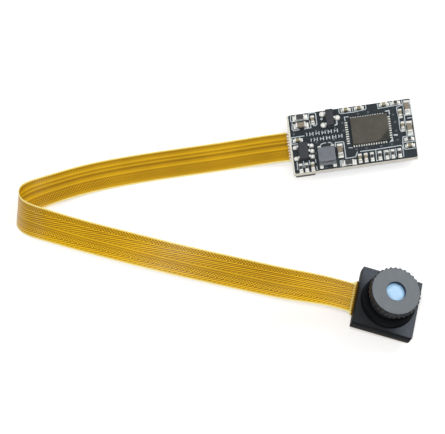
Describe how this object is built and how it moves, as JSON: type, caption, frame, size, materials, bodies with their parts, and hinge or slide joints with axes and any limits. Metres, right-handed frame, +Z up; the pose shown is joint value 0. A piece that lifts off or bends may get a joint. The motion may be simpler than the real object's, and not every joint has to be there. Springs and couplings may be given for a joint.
{
  "type": "miniature camera module",
  "caption": "Small processor board joined by a long flexible printed circuit to a square lens head with a knurled focusing barrel.",
  "frame": {"origin": "middle of the footprint of the board and the lens head, on the surface that the module lies on", "axes": "+Z up, out of the board's upper face; +X along the board, away from the flex circuit; +Y from the lens head towards the board"},
  "size_m": [0.0653, 0.0406, 0.0129],
  "materials": {
    "board": "satin dark solder mask over glass laminate, cream at the cut edges",
    "solder": "bright tinned solder",
    "package": "matte warm grey moulding compound",
    "ferrite": "satin blue-grey ferrite",
    "winding": "enamelled copper wire",
    "package_black": "matte charcoal moulding compound",
    "lead": "tinned sheet",
    "ceramic_tan": "satin tan ceramic",
    "ceramic_brown": "satin brown ceramic",
    "ceramic_white": "white alumina",
    "glass_coat": "gloss black glaze",
    "ceramic_dark": "matte dark ceramic",
    "lid": "plated metal lid",
    "gold": "gold plate",
    "flex": "glossy amber film over copper traces",
    "stiffener": "matte amber laminate",
    "silicon": "dark polished silicon",
    "clear_glass": "clear cover glass",
    "filter_glass": "coated filter glass",
    "holder": "fine matte black moulding",
    "barrel": "satin black moulding",
    "coated_glass": "glass with a pale blue coating",
    "blackened": "blackened"
  },
  "bodies": {
    "module": {"circuit_board": "board", "solder_pads": "solder", "image_processor": "package", "processor_contacts": "solder", "inductor_core": "ferrite", "inductor_winding": "winding", "inductor_terminals": "solder", "regulator_body": "package_black", "regulator_leads": "lead", "transistor_body": "package_black", "transistor_leads": "lead", "small_capacitors": "ceramic_tan", "large_capacitors": "ceramic_brown", "capacitor_ends": "solder", "resistors": "ceramic_white", "resistor_coats": "glass_coat", "resistor_ends": "solder", "crystal_base": "ceramic_dark", "crystal_lid": "lid", "flash_memory": "package_black", "flash_leads": "lead", "cable_pads": "gold", "flex_solder": "solder", "flex_circuit": "flex", "head_stiffener": "stiffener", "image_sensor": "silicon", "sensor_glass": "clear_glass", "sensor_capacitors": "ceramic_tan", "sensor_capacitor_ends": "solder", "ir_filter": "filter_glass", "lens_holder": "holder"},
    "glass_stack": {"front_lens": "coated_glass", "aperture_stop": "blackened", "middle_lens": "coated_glass", "spacer_ring": "blackened", "rear_lens": "coated_glass", "lens_retainer": "blackened"},
    "barrel": {"lens_barrel": "barrel"}
  },
  "joints": [
    {"name": "focus_travel", "type": "slide", "parent": "module", "child": "glass_stack", "axis": [0.3351, 0.0537, 0.9406], "range_m": [-0.000175, 0.000175]},
    {"name": "focus_turn", "type": "hinge", "parent": "glass_stack", "child": "barrel", "pos_m": [0.00303, -0.01378, 0.00695], "axis": [0.3351, 0.0537, 0.9406], "range_deg": [-181, 181]}
  ],
  "couplings": [
    {"joint": "focus_turn", "follows": "focus_travel", "rad_per_m": 17952}
  ]
}
